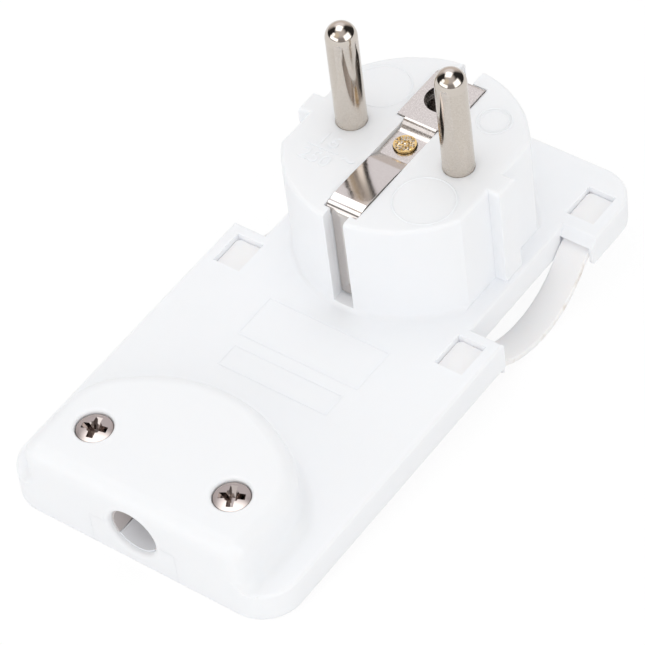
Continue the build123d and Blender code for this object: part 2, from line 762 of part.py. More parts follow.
# Cord grip: a bar with a biting ridge, pulled against two bosses by countersunk screws
with BuildPart() as cord_clamp_bar:
    with BuildSketch(Plane.XY.offset(grip_bar_under)):
        with Locations((0, grip_y)):
            RectangleRounded(
                2 * (grip_screw_x + grip_bar_overhang), grip_bar_width, grip_bar_width / 2 - 0.1
            )
        with Locations(*grip_screw_places):
            Circle(grip_screw_radius + thread_gap, mode=Mode.SUBTRACT)
    extrude(amount=grip_bar_thickness)
    with Locations((0, grip_y, grip_bar_top)):
        Cylinder(grip_ridge_radius, 2 * (grip_screw_x - grip_boss_radius) - cut_margin, rotation=(0, 90, 0))
    with Locations(*[(x, y, grip_bar_under + grip_cone / 2) for x, y in grip_screw_places]):
        Cone(
            grip_screw_head_radius + thread_gap,
            grip_screw_radius + thread_gap,
            grip_cone,
            mode=Mode.SUBTRACT,
        )
cord_clamp_bar.part.label = "cord_clamp_bar"
export_step(cord_clamp_bar.part, "parts/cord_clamp_bar.step")

for name, place in zip(("left", "right"), grip_screw_places):
    with BuildPart() as cord_clamp_screw:
        with BuildSketch(Plane.XZ):
            Polygon(
                (0, grip_bar_under),
                (grip_screw_head_radius, grip_bar_under),
                (grip_screw_radius, grip_bar_under + grip_cone),
                (grip_screw_radius, grip_bar_top + grip_screw_depth - thread_gap),
                (0, grip_bar_top + grip_screw_depth - thread_gap),
                align=None,
            )
        revolve(axis=Axis.Z)
        with BuildSketch(Plane.XY.offset(grip_bar_under)):
            Rectangle(3 * grip_screw_head_radius, terminal_slot_width)
        extrude(amount=terminal_slot_width, mode=Mode.SUBTRACT)
    placed_screw = cord_clamp_screw.part.moved(Location((*place, 0)))
    placed_screw.label = f"cord_clamp_screw_{name}"
    export_step(placed_screw, f"parts/cord_clamp_screw_{name}.step")

# Pull straps: a soft band that sags below the back face, with a head in each window.
# Each half is two tangent arcs: a wide one round the lowest place, a tight one at the tab.
strap_inner_x = recess_wall_x + strap_inner_gap
strap_width = pocket_outer_x - strap_outer_gap - strap_inner_x
strap_ends = (
    (1, strap_rear_bend_start, strap_rear_shoulder),
    (-1, strap_front_bend_start, strap_front_shoulder),
)
strap_low = strap_seat_height - strap_sag
half = strap_thickness / 2
strap_end = window_far - strap_head_gap
strap_head_inner = window_inner_x + strap_head_gap
strap_head_width = window_outer_x - strap_head_gap - strap_head_inner
for name, side in (("left", -1), ("right", 1)):
    with BuildPart() as pull_strap:
        with BuildSketch(Plane.YZ.offset(side * strap_inner_x)):
            with BuildLine():
                for end, bend_start, shoulder in strap_ends:
                    span = bend_start - end * strap_lowest_y
                    turn = 2 * atan(strap_sag / span)
                    wide = span / sin(turn) - shoulder
                    swing = end * degrees(turn)
                    middle = (strap_lowest_y, strap_low + wide)
                    corner = (end * bend_start, strap_seat_height - shoulder)
                    for shift in (-half, half):
                        CenterArc(middle, wide + shift, -90, swing)
                        CenterArc(corner, shoulder - shift, 90, swing)
                    Polyline(
                        (end * bend_start, strap_seat_height - half),
                        (end * (strap_end - half), strap_seat_height - half),
                        (end * (strap_end - half), strap_seat_height + half),
                        (end * bend_start, strap_seat_height + half),
                    )
            make_face()
        extrude(amount=side * strap_width)
        fillet(pull_strap.edges().filter_by(Axis.X, reverse=True), strap_edge_round)
        for end in (-1, 1):
            with BuildSketch(Plane.YZ.offset(side * strap_head_inner)) as head_side:
                with Locations(
                    (
                        end * (window_near + strap_head_gap + strap_end) / 2,
                        (cover_thickness + strap_floor_gap + strap_head_height) / 2,
                    )
                ):
                    Rectangle(
                        strap_end - window_near - strap_head_gap,
                        strap_head_height - cover_thickness - strap_floor_gap,
                    )
                fillet(head_side.vertices().group_by(Axis.Y)[-1], strap_head_round)
            extrude(amount=side * strap_head_width)
    pull_strap.part.label = f"pull_strap_{name}"
    export_step(pull_strap.part, f"parts/pull_strap_{name}.step")
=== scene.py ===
# %% [markdown]
# # A flat mains plug on a white table
# The solids of this plug come from a CAD program. Blender loads them as a fixed frame and
# gives them their finish: cool white plastic, ivory straps, nickel and brass. A few fine
# pieces are modelled here as well, such as the cross recess of the screws, the dotted end
# of the rivet and the raised figures on the round head.

import math
import random

import bmesh
import bpy
from mathutils import Matrix, Vector


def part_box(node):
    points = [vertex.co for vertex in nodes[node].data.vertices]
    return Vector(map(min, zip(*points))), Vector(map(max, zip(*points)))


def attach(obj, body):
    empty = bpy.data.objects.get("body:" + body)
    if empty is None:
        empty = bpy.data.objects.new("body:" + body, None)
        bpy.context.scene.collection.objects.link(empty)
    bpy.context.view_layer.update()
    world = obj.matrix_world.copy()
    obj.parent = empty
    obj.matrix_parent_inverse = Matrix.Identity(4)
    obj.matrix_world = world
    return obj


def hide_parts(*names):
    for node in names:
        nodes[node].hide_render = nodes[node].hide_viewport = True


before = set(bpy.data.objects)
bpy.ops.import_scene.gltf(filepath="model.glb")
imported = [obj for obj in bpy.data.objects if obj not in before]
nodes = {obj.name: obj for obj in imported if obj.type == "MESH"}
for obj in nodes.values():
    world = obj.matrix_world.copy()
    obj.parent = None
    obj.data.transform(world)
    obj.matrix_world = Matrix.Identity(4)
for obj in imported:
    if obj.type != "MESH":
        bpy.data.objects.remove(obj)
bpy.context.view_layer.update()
MM = 0.001
print("pieces in the frame:", len(nodes))

# %% [markdown]
# ## Places on the plug
# Every piece that follows needs a few places on the solids. They are measured from the
# boxes of the CAD pieces instead of being typed again, so a change of the solids moves
# the fine pieces with them.

# %% Measure the solids
housing_low, housing_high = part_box("front_housing")
pin_low, pin_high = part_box("neutral_pin")
post_low, post_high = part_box("earth_post")
strap_low, strap_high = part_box("pull_strap_right")
face_z = housing_high.z
plate_z = 4.8 * MM
pin_top = pin_high.z
pin_radius = 2.4 * MM
print("face at", round(face_z / MM, 2), "mm, pin tips at", round(pin_top / MM, 2), "mm")

# %% [markdown]
# ## Small helpers
# A piece is built as a bmesh, turned into an object at the origin and tied to the frame.
# One helper does this for all pieces. A second one makes a material whose main shader is
# ready to be set, and a third adds a node that reads the Object coordinates.


# %% Helpers for pieces and finishes
def add_piece(name, shape, finish, smooth_angle=35):
    """Turn a bmesh into an object at the origin that belongs to the plug."""
    bmesh.ops.recalc_face_normals(shape, faces=shape.faces[:])
    mesh = bpy.data.meshes.new(name)
    shape.to_mesh(mesh)
    shape.free()
    piece = bpy.data.objects.new(name, mesh)
    bpy.context.scene.collection.objects.link(piece)
    mesh.materials.append(finish)
    mesh.shade_smooth()
    mesh.set_sharp_from_angle(angle=math.radians(smooth_angle))
    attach(piece, "root")
    print(name, "has", len(mesh.polygons), "faces")
    return piece


def new_finish(name, colour, roughness, metallic=0.0):
    """A material with its Principled shader set to plain values."""
    finish = bpy.data.materials.new(name)
    finish.use_nodes = True
    shader = finish.node_tree.nodes["Principled BSDF"]
    shader.inputs["Base Color"].default_value = (*colour, 1.0)
    shader.inputs["Roughness"].default_value = roughness
    shader.inputs["Metallic"].default_value = metallic
    return finish, shader


def add_node(finish, kind, links=(), **values):
    """Add a node, set its sockets by name and link other outputs to its inputs."""
    tree = finish.node_tree
    made = tree.nodes.new(kind)
    for key, value in values.items():
        made.inputs[key.replace("_", " ")].default_value = value
    for output, key in links:
        tree.links.new(output, made.inputs[key])
    return made


def object_place(finish, turn=(0, 0, 0), stretch=(1, 1, 1)):
    """Object coordinates, turned and stretched by a Mapping node."""
    place = add_node(finish, "ShaderNodeTexCoord")
    mapped = add_node(finish, "ShaderNodeMapping", [(place.outputs["Object"], "Vector")])
    mapped.inputs["Rotation"].default_value = turn
    mapped.inputs["Scale"].default_value = stretch
    return mapped.outputs["Vector"]


def noise(finish, place, scale, detail=2.0):
    """Noise between 0 and 1 on a place."""
    made = add_node(finish, "ShaderNodeTexNoise", [(place, "Vector")], Scale=scale, Detail=detail)
    return made.outputs["Fac"]


def spread(finish, value, low, high, to_low, to_high):
    """Map a value from one range to another, held inside it."""
    made = add_node(finish, "ShaderNodeMapRange", [(value, "Value")])
    made.inputs["From Min"].default_value = low
    made.inputs["From Max"].default_value = high
    made.inputs["To Min"].default_value = to_low
    made.inputs["To Max"].default_value = to_high
    return made.outputs["Result"]


def blend_colours(finish, share, first, second):
    """Mix two colours by a share that varies over the surface."""
    made = finish.node_tree.nodes.new("ShaderNodeMix")
    made.data_type = "RGBA"
    finish.node_tree.links.new(share, made.inputs["Factor"])
    for key, colour in ((6, first), (7, second)):
        if isinstance(colour, tuple):
            made.inputs[key].default_value = (*colour, 1.0)
        else:
            finish.node_tree.links.new(colour, made.inputs[key])
    return made.outputs[2]


def add_bump(finish, shader, height, strength, depth):
    """Fine relief from a height that varies over the surface."""
    made = add_node(finish, "ShaderNodeBump", [(height, "Height")], Strength=strength, Distance=depth)
    finish.node_tree.links.new(made.outputs["Normal"], shader.inputs["Normal"])


def link(finish, output, shader, key):
    finish.node_tree.links.new(output, shader.inputs[key])


print("helpers are ready")

# %% [markdown]
# ## White plastic of the housing
# The real housing is moulded in a cool, slightly blue white with a satin skin. A Principled
# shader with a medium roughness gives the soft sheen. Two nearly equal whites are mixed by
# a slow noise, and a very fine noise roughens the skin, because a perfectly even white
# looks like paper. Light also soaks in a little way, which softens the edges, so the shader
# lets it travel a few tenths of a millimetre below the surface.

# %% Housing plastic
housing_plastic, shader = new_finish("housing_plastic", (0.935, 0.951, 0.980), 0.42)
place = object_place(housing_plastic)
cloud = noise(housing_plastic, place, 220.0)
share = spread(housing_plastic, cloud, 0.35, 0.65, 0.0, 1.0)
white = blend_colours(housing_plastic, share, (0.931, 0.948, 0.978), (0.939, 0.954, 0.982))
link(housing_plastic, white, shader, "Base Color")
shader.inputs["Subsurface Weight"].default_value = 0.5
shader.inputs["Subsurface Radius"].default_value = (1.0, 0.95, 0.92)
shader.inputs["Subsurface Scale"].default_value = 0.4 * MM
grain = noise(housing_plastic, place, 5200.0)
add_bump(housing_plastic, shader, grain, 0.12, 0.00002)
print("made", housing_plastic.name)

# %% [markdown]
# ## Plastic of the raised marks
# Thin raised strokes are the same white plastic. They are thinner than the way that light
# travels in it, so their finish leaves that out and keeps only the white and the grain.

# %% Mark plastic
mark_plastic, shader = new_finish("mark_plastic", (0.935, 0.951, 0.980), 0.42)
grain = noise(mark_plastic, object_place(mark_plastic), 5200.0)
add_bump(mark_plastic, shader, grain, 0.12, 0.00002)
print("made", mark_plastic.name)

# %% [markdown]
# ## Ivory plastic of the straps
# The straps are a softer, warmer plastic. Their edges are a little brown from handling, and
# tiny dark specks lie in the surface. The specks come from a Voronoi pattern: only the very
# middle of a few cells is darkened. The brown edge follows the distance from the middle of
# the strap, which the Object coordinates give directly.

# %% Strap plastic
strap_plastic, shader = new_finish("strap_plastic", (0.955, 0.94, 0.935), 0.38)
place = object_place(strap_plastic)
speck_cells = add_node(strap_plastic, "ShaderNodeTexVoronoi", [(place, "Vector")], Scale=520.0)
near_middle = spread(strap_plastic, speck_cells.outputs["Distance"], 0.05, 0.09, 1.0, 0.0)
lots = add_node(strap_plastic, "ShaderNodeSeparateColor", [(speck_cells.outputs["Color"], "Color")])
chosen = spread(strap_plastic, lots.outputs["Red"], 0.90, 0.905, 0.0, 1.0)
speck = add_node(strap_plastic, "ShaderNodeMath", [(near_middle, 0), (chosen, 1)])
speck.operation = "MULTIPLY"
across = add_node(strap_plastic, "ShaderNodeSeparateXYZ", [(place, "Vector")])
sideways = add_node(strap_plastic, "ShaderNodeMath", [(across.outputs["X"], 0)])
sideways.operation = "ABSOLUTE"
outer_edge = strap_high.x
rim = spread(strap_plastic, sideways.outputs["Value"], outer_edge - 0.3 * MM, outer_edge, 0.0, 1.0)
rubbed = spread(strap_plastic, noise(strap_plastic, place, 480.0, 3.0), 0.52, 0.72, 0.04, 0.6)
worn_rim = add_node(strap_plastic, "ShaderNodeMath", [(rim, 0), (rubbed, 1)])
worn_rim.operation = "MULTIPLY"
worn = worn_rim.outputs["Value"]
ivory = blend_colours(strap_plastic, worn, (0.955, 0.94, 0.935), (0.62, 0.53, 0.44))
specked = blend_colours(strap_plastic, speck.outputs["Value"], ivory, (0.20, 0.14, 0.10))
link(strap_plastic, specked, shader, "Base Color")
shader.inputs["Subsurface Weight"].default_value = 0.5
shader.inputs["Subsurface Radius"].default_value = (1.0, 0.9, 0.82)
shader.inputs["Subsurface Scale"].default_value = 0.4 * MM
print("made", strap_plastic.name)

# %% [markdown]
# ## Nickel plate of the pins
# The pins are turned brass with a nickel plate. The round tip is polished and mirrors the
# lamps, the shaft is satin, and the foot carries fine scratches from use. One material can
# hold all three: the height in Object coordinates steers the roughness, and noise that is
# squeezed along Z draws the scratches round the pin. A very fine noise breaks up the colour,
# as the grain of the plate does.

# %% Nickel of the pins
pin_nickel, shader = new_finish("pin_nickel", (0.68, 0.62, 0.555), 0.2, metallic=1.0)
place = object_place(pin_nickel)
height = add_node(pin_nickel, "ShaderNodeSeparateXYZ", [(place, "Vector")]).outputs["Z"]
tip_start = pin_top - pin_radius - 0.4 * MM
polish = spread(pin_nickel, height, tip_start - 0.05 * MM, tip_start + 0.05 * MM, 0.0, 1.0)
wear = spread(pin_nickel, height, face_z + 9 * MM, face_z, 0.0, 1.0)
rings = noise(pin_nickel, object_place(pin_nickel, stretch=(0.25, 0.25, 6.0)), 900.0, 4.0)
patches = noise(pin_nickel, place, 420.0, 3.0)
satin = add_node(pin_nickel, "ShaderNodeMath", [(wear, 0), (patches, 1)])
satin.operation = "MULTIPLY"
shaft_roughness = spread(pin_nickel, satin.outputs["Value"], 0.0, 0.6, 0.08, 0.32)
roughness = add_node(pin_nickel, "ShaderNodeMix", [(polish, "Factor"), (shaft_roughness, "A")], B=0.05)
link(pin_nickel, roughness.outputs[0], shader, "Roughness")
grain = noise(pin_nickel, place, 4200.0, 2.0)
tone = spread(pin_nickel, grain, 0.3, 0.7, 0.0, 1.0)
plate_tone = blend_colours(pin_nickel, tone, (0.63, 0.57, 0.505), (0.71, 0.655, 0.595))
dressed_tone = blend_colours(pin_nickel, polish, plate_tone, (0.70, 0.64, 0.58))
link(pin_nickel, dressed_tone, shader, "Base Color")
scratch = add_node(pin_nickel, "ShaderNodeMath", [(rings, 0), (wear, 1)])
scratch.operation = "MULTIPLY"
add_bump(pin_nickel, shader, scratch.outputs["Value"], 0.25, 0.00003)
print("made", pin_nickel.name)

# %% [markdown]
# ## Nickel plate of the clip
# The earth clip is stamped from sheet and plated. The broad rear part has the dull, grainy
# skin of barrel plating, while the sprung front part is rubbed bright by sockets and mirrors
# the pin beside it. The Y value of the Object coordinates tells the two apart.

# %% Nickel of the clip
clip_nickel, shader = new_finish("clip_nickel", (0.66, 0.625, 0.60), 0.2, metallic=1.0)
place = object_place(clip_nickel)
along = add_node(clip_nickel, "ShaderNodeSeparateXYZ", [(place, "Vector")]).outputs["Y"]
grain = noise(clip_nickel, place, 3600.0, 3.0)
dull = spread(clip_nickel, grain, 0.3, 0.7, 0.17, 0.31)
rubbed = spread(clip_nickel, grain, 0.3, 0.7, 0.07, 0.13)
front_part = spread(clip_nickel, along, -3.0 * MM, -4.5 * MM, 0.0, 1.0)
roughness = add_node(
    clip_nickel, "ShaderNodeMix", [(front_part, "Factor"), (dull, "A"), (rubbed, "B")]
)
link(clip_nickel, roughness.outputs[0], shader, "Roughness")
tone = spread(clip_nickel, grain, 0.3, 0.7, 0.0, 1.0)
sheet_tone = blend_colours(clip_nickel, tone, (0.645, 0.605, 0.58), (0.675, 0.64, 0.615))
link(clip_nickel, sheet_tone, shader, "Base Color")
add_bump(clip_nickel, shader, grain, 0.06, 0.00002)
print("made", clip_nickel.name)

# %% [markdown]
# ## Metal of the small parts
# Screws, brass post and spring steel need only plain values. Each one is set on the
# sockets of its shader, which is all that a small, evenly finished part asks for.

# %% Screw, brass and steel
screw_nickel, shader = new_finish("screw_nickel", (0.45, 0.40, 0.38), 0.09, metallic=1.0)
brass, shader = new_finish("brass", (0.80, 0.58, 0.26), 0.25, metallic=1.0)
spring_steel, shader = new_finish("spring_steel", (0.58, 0.56, 0.54), 0.28, metallic=1.0)
grip_plastic, shader = new_finish("grip_plastic", (0.84, 0.82, 0.815), 0.5)
# Painted shade: the upper, housing part of the cord channel gets a darker taupe white than the plastic,
# standing in for the shadow it lies in.
channel_painted_shade, shader = new_finish("channel_painted_shade", (0.66, 0.615, 0.605), 0.5)
print("made", screw_nickel.name, brass.name, spring_steel.name)
print("made", grip_plastic.name, channel_painted_shade.name)

# %% [markdown]
# ## Brass of the dotted end
# The pressed end of the post glitters: some of its dots are bare yellow brass, and some are
# painted a pale, nearly white tone as painted glints that stand in for a mirrored lamp. A noise as
# coarse as the dots picks which of two tones a spot gets, because a single tone would make all
# the dots look alike.

# %% Pressed brass with painted glints
brass_painted_glints, shader = new_finish("brass_painted_glints", (0.83, 0.62, 0.30), 0.2, metallic=1.0)
painted_glint_spots = noise(brass_painted_glints, object_place(brass_painted_glints), 2600.0, 1.0)
share = spread(brass_painted_glints, painted_glint_spots, 0.42, 0.56, 0.0, 1.0)
# The pale second tone is a painted glint that stands in for a lamp mirrored in the dots.
glint_painted_tone = blend_colours(brass_painted_glints, share, (0.80, 0.53, 0.19), (0.95, 0.90, 0.82))
link(brass_painted_glints, glint_painted_tone, shader, "Base Color")
print("made", brass_painted_glints.name)

# %% [markdown]
# ## Dress the CAD pieces
# Each CAD piece keeps its mesh and gets a finish in its first material slot. A table from
# name to finish says which. Everything that isn't in the table is a small steel part.

# %% Put the finishes on
finish_of = {
    "front_housing": housing_plastic,
    "back_cover": housing_plastic,
    "pull_strap_left": strap_plastic,
    "pull_strap_right": strap_plastic,
    "live_pin": pin_nickel,
    "neutral_pin": pin_nickel,
    "earth_clip": clip_nickel,
    "earth_post": brass,
    "earth_socket": clip_nickel,
    "housing_screw_left": screw_nickel,
    "housing_screw_right": screw_nickel,
    "cord_clamp_bar": grip_plastic,
}
for name, node in nodes.items():
    node.data.materials[0] = finish_of.get(name, spring_steel)
    print(name, "wears", node.data.materials[0].name)

# %% [markdown]
# ## Housing screws
# The two screws that close the housing have a raised countersunk head with a cross recess.
# The head is a profile spun round its axis. The recess is cut by two tapered wedges and a blunt
# cone, because a Boolean keeps the crown of the head true where the walls of the recess run
# out of it. Points that the cut leaves almost on top of each other are merged, so the mesh is
# closed. The finished screws take the place of the plain screws of the frame.

# %% Screw profile
HEAD_RADIUS = 2.75 * MM
HEAD_EDGE = 0.5 * MM
CROWN_RISE = 0.33 * MM
CROWN_STEPS = 10
RIM_ROUND = 0.12 * MM
NECK_RADIUS = 1.5 * MM
RIM_ABOVE_PLATE = 7.85 * MM


def screw_shape(place, rim_z, end_z):
    """A countersunk screw without its recess, spun round a vertical axis."""
    ball = (HEAD_RADIUS**2 + CROWN_RISE**2) / (2 * CROWN_RISE)
    reach = math.asin((HEAD_RADIUS - RIM_ROUND) / ball)
    ball_z = rim_z + CROWN_RISE - ball
    angles = [reach * i / CROWN_STEPS for i in range(CROWN_STEPS + 1)]
    profile = [(ball * math.sin(angle), ball_z + ball * math.cos(angle)) for angle in angles]
    profile += [
        (HEAD_RADIUS, rim_z - RIM_ROUND),
        (HEAD_RADIUS, rim_z - HEAD_EDGE),
        (NECK_RADIUS, rim_z - HEAD_EDGE - (HEAD_RADIUS - NECK_RADIUS)),
        (NECK_RADIUS, end_z),
        (0, end_z),
    ]
    shape = bmesh.new()
    corners = [shape.verts.new((radius, 0, z)) for radius, z in profile]
    edges = [shape.edges.new(pair) for pair in zip(corners, corners[1:])]
    bmesh.ops.spin(
        shape,
        geom=corners + edges,
        cent=(0, 0, 0),
        axis=(0, 0, 1),
        angle=2 * math.pi,
        steps=72,
        use_merge=True,
    )
    bmesh.ops.remove_doubles(shape, verts=shape.verts[:], dist=0.002 * MM)
    bmesh.ops.translate(shape, verts=shape.verts[:], vec=(place.x, place.y, 0))
    return shape


print("screw profile is ready")

# %% Cutters of the cross recess
WING_LENGTH = 4.8 * MM
WING_WIDTH = 1.2 * MM
WING_DEPTH = 2.0 * MM
CENTRE_RADIUS = 1.5 * MM
CENTRE_FOOT = 0.2 * MM
RECESS_DROP = 0.56 * MM


def cutter_object(shape, place, top_z):
    """Move a cutter onto a screw and make it an object."""
    bmesh.ops.translate(shape, verts=shape.verts[:], vec=(place.x, place.y, top_z - RECESS_DROP))
    mesh = bpy.data.meshes.new("cutter")
    shape.to_mesh(mesh)
    shape.free()
    cutter = bpy.data.objects.new("cutter", mesh)
    bpy.context.scene.collection.objects.link(cutter)
    return cutter


def wing_cutter(place, top_z, turn):
    """One wedge of the cross: long and wide above, short and narrow at its foot."""
    shape = bmesh.new()
    bmesh.ops.create_cube(shape, size=1.0)
    bmesh.ops.scale(shape, verts=shape.verts[:], vec=(WING_LENGTH, WING_WIDTH, WING_DEPTH))
    foot = [corner for corner in shape.verts if corner.co.z < 0]
    bmesh.ops.scale(shape, verts=foot, vec=(0.35, 0.5, 1.0))
    bmesh.ops.rotate(shape, verts=shape.verts[:], matrix=Matrix.Rotation(turn, 3, "Z"))
    return cutter_object(shape, place, top_z)


def centre_cutter(place, top_z, turn):
    """The blunt cone in the middle of the cross, which rounds its inner corners off."""
    shape = bmesh.new()
    bmesh.ops.create_cone(
        shape, cap_ends=True, segments=8, radius1=CENTRE_FOOT, radius2=CENTRE_RADIUS, depth=WING_DEPTH
    )
    bmesh.ops.rotate(shape, verts=shape.verts[:], matrix=Matrix.Rotation(turn, 3, "Z"))
    return cutter_object(shape, place, top_z)


def cut_away(piece, cutters, smooth_angle=30):
    """Cut some shapes out of a piece, clean the result and drop the cutters."""
    for cutter in cutters:
        cut = piece.modifiers.new("cut", "BOOLEAN")
        cut.operation = "DIFFERENCE"
        cut.solver = "EXACT"
        cut.object = cutter
    graph = bpy.context.evaluated_depsgraph_get()
    mesh = bpy.data.meshes.new_from_object(piece.evaluated_get(graph))
    piece.modifiers.clear()
    piece.data = mesh
    shape = bmesh.new()
    shape.from_mesh(mesh)
    bmesh.ops.remove_doubles(shape, verts=shape.verts[:], dist=0.002 * MM)
    bmesh.ops.dissolve_degenerate(shape, edges=shape.edges[:], dist=0.002 * MM)
    bmesh.ops.recalc_face_normals(shape, faces=shape.faces[:])
    shape.to_mesh(mesh)
    shape.free()
    mesh.shade_smooth()
    mesh.set_sharp_from_angle(angle=math.radians(smooth_angle))
    for cutter in cutters:
        bpy.data.objects.remove(cutter)


print("cutters are ready")

# %% Screws with their recess
SCREW_TURNS = {"left": 15, "right": 26}
for side, turn in SCREW_TURNS.items():
    low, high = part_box("housing_screw_" + side)
    place = (low + high) / 2
    rim_z = plate_z + RIM_ABOVE_PLATE
    screw = add_piece(
        "cross_screw_" + side, screw_shape(place, rim_z, low.z), screw_nickel
    )
    crown_z = rim_z + CROWN_RISE
    cutters = [wing_cutter(place, crown_z, math.radians(turn + quarter)) for quarter in (0, 90)]
    cutters.append(centre_cutter(place, crown_z, math.radians(turn)))
    cut_away(screw, cutters)
    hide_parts("housing_screw_" + side)
    print(screw.name, "is cut to", len(screw.data.polygons), "faces")

# %% [markdown]
# ## Dotted end of the earth post
# The end of the post is pressed with a knurled tool, which leaves rows of small pyramids
# that glitter in the light. Each one is a cone with four sides, set in a turned grid and
# kept only where it fits on the round end. A small lean, drawn from a seeded generator, makes
# each one catch the lamps in its own way.

# %% Knurl on the post
KNURL_PITCH = 0.42 * MM
KNURL_HEIGHT = 0.16 * MM
KNURL_LEAN = math.radians(14)
KNURL_TURN = math.radians(33)
POST_RADIUS = 1.75 * MM
press_marks = random.Random(5)
post_top = post_high.z
post_reach = POST_RADIUS - 0.55 * KNURL_PITCH
grid_turn = Matrix.Rotation(KNURL_TURN, 4, "Z")
shape = bmesh.new()
for row in range(-6, 7):
    for column in range(-6, 7):
        spot = grid_turn @ Vector((row * KNURL_PITCH, column * KNURL_PITCH, 0))
        if spot.length > post_reach:
            continue
        bmesh.ops.create_cone(
            shape,
            cap_ends=True,
            segments=4,
            radius1=0.68 * KNURL_PITCH,
            radius2=0.04 * KNURL_PITCH,
            depth=KNURL_HEIGHT,
            matrix=Matrix.Translation((spot.x, spot.y, post_top + 0.46 * KNURL_HEIGHT))
            @ Matrix.Rotation(press_marks.uniform(-KNURL_LEAN, KNURL_LEAN), 4, "X")
            @ Matrix.Rotation(press_marks.uniform(-KNURL_LEAN, KNURL_LEAN), 4, "Y")
            @ Matrix.Rotation(KNURL_TURN + math.radians(45), 4, "Z"),
        )
add_piece("post_knurl", shape, brass_painted_glints, smooth_angle=10)

# %% [markdown]
# ## Cord channel
# Behind the round cable hole the cord would lie in a smooth channel up to its clamp. The back
# cover has the bottom of it and the housing the rest, with a fine joint between them. Each part
# is a thin rectangle spun by less than a full turn and closed at its two ends. It lines the bore
# from just behind the rounded lip, which gives the lip a crisp inner edge. The housing's part is
# coloured a darker taupe white as painted shade, because it faces down and lies in shadow, while
# the bottom in the cover stays white.

# %% Channel behind the cable hole
HOLE_RADIUS = 4.0 * MM
HOLE_HEIGHT = 5.85 * MM
LIP_DEPTH = 0.95 * MM
CHANNEL_GAP = 0.03 * MM
CHANNEL_WALL = 0.2 * MM
CLAMP_GAP = 0.2 * MM
JOINT_ANGLE = math.radians(1.2)
COVER_SWEEP = math.radians(106)
clamp_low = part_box("cord_clamp_bar")[0]
channel_start = housing_low.y + LIP_DEPTH
channel_outer = HOLE_RADIUS - CHANNEL_GAP
channel_inner = channel_outer - CHANNEL_WALL
channel_end = clamp_low.y - CLAMP_GAP


def channel_part(name, start_angle, sweep, finish):
    """Part of the tube round the axis of the cable hole, from an angle below the right side."""
    profile = [
        (channel_inner, channel_start),
        (channel_outer, channel_start),
        (channel_outer, channel_end),
        (channel_inner, channel_end),
    ]
    shape = bmesh.new()
    corners = [shape.verts.new((radius, y, 0)) for radius, y in profile]
    cap = shape.faces.new(corners)
    bmesh.ops.spin(
        shape,
        geom=[cap],
        cent=(0, 0, 0),
        axis=(0, 1, 0),
        angle=sweep - 2 * JOINT_ANGLE,
        steps=48,
        use_duplicate=False,
    )
    turn = Matrix.Rotation(start_angle + JOINT_ANGLE, 3, "Y")
    bmesh.ops.rotate(shape, verts=shape.verts[:], matrix=turn)
    bmesh.ops.translate(shape, verts=shape.verts[:], vec=(0, 0, HOLE_HEIGHT))
    return add_piece(name, shape, finish)


cover_start = (math.pi - COVER_SWEEP) / 2
cover_end = cover_start + COVER_SWEEP
channel_part("cord_channel_cover", cover_start, COVER_SWEEP, mark_plastic)
# The housing's part takes the darker colour that paints its shade.
channel_part("cord_channel_housing", cover_end, math.tau - COVER_SWEEP, channel_painted_shade)

# %% [markdown]
# ## Strap ends in the windows
# The straps swell into a soft pad that fills each window of the plate but for a hair's
# breadth. A cube is scaled to the window, its upright edges are rounded with a wide bevel and
# its upper rim with a narrow one.

# %% Pads in the windows
WINDOW_INNER_X = 17.6 * MM
WINDOW_OUTER_X = 22.4 * MM
WINDOW_NEAR_Y = 14.2 * MM
WINDOW_FAR_Y = 20.4 * MM
PAD_GAP = 0.07 * MM
PAD_TOP = strap_high.z + 0.15 * MM
PAD_DEPTH = 0.8 * MM
PAD_CORNER = 0.8 * MM
PAD_RIM = 0.15 * MM


def strap_pad(name, side, end):
    """A pad that fills one window, on one side of the plug and at one end of a strap."""
    size = (
        WINDOW_OUTER_X - WINDOW_INNER_X - 2 * PAD_GAP,
        WINDOW_FAR_Y - WINDOW_NEAR_Y - 2 * PAD_GAP,
        PAD_DEPTH,
    )
    middle = (
        side * (WINDOW_INNER_X + WINDOW_OUTER_X) / 2,
        end * (WINDOW_NEAR_Y + WINDOW_FAR_Y) / 2,
        PAD_TOP - PAD_DEPTH / 2,
    )
    shape = bmesh.new()
    bmesh.ops.create_cube(shape, size=1.0)
    bmesh.ops.scale(shape, verts=shape.verts[:], vec=size)
    upright = [
        edge for edge in shape.edges if abs(edge.verts[0].co.z - edge.verts[1].co.z) > PAD_DEPTH / 2
    ]
    bmesh.ops.bevel(
        shape, geom=upright, offset=PAD_CORNER, segments=6, profile=0.5, affect="EDGES", material=-1
    )
    top = max(shape.faces, key=lambda face: face.calc_center_median().z)
    bmesh.ops.bevel(
        shape, geom=top.edges[:], offset=PAD_RIM, segments=3, profile=0.5, affect="EDGES", material=-1
    )
    bmesh.ops.translate(shape, verts=shape.verts[:], vec=middle)
    return add_piece(name, shape, strap_plastic)


for side_name, side in (("left", -1), ("right", 1)):
    for end_name, end in (("front", -1), ("rear", 1)):
        strap_pad("strap_pad_" + side_name + "_" + end_name, side, end)

# %% [markdown]
# ## Raised figures on the face
# The rated values stand on the face in thin raised strokes: one figure above a line, one
# below it, and a wave beside them. Text objects give the strokes. Each is turned into a mesh
# and then fitted into its box on the face, so that the object itself stays at the origin.

# %% Figures
FIGURE_HEIGHT = 0.09 * MM
FIGURE_SINK = 0.02 * MM


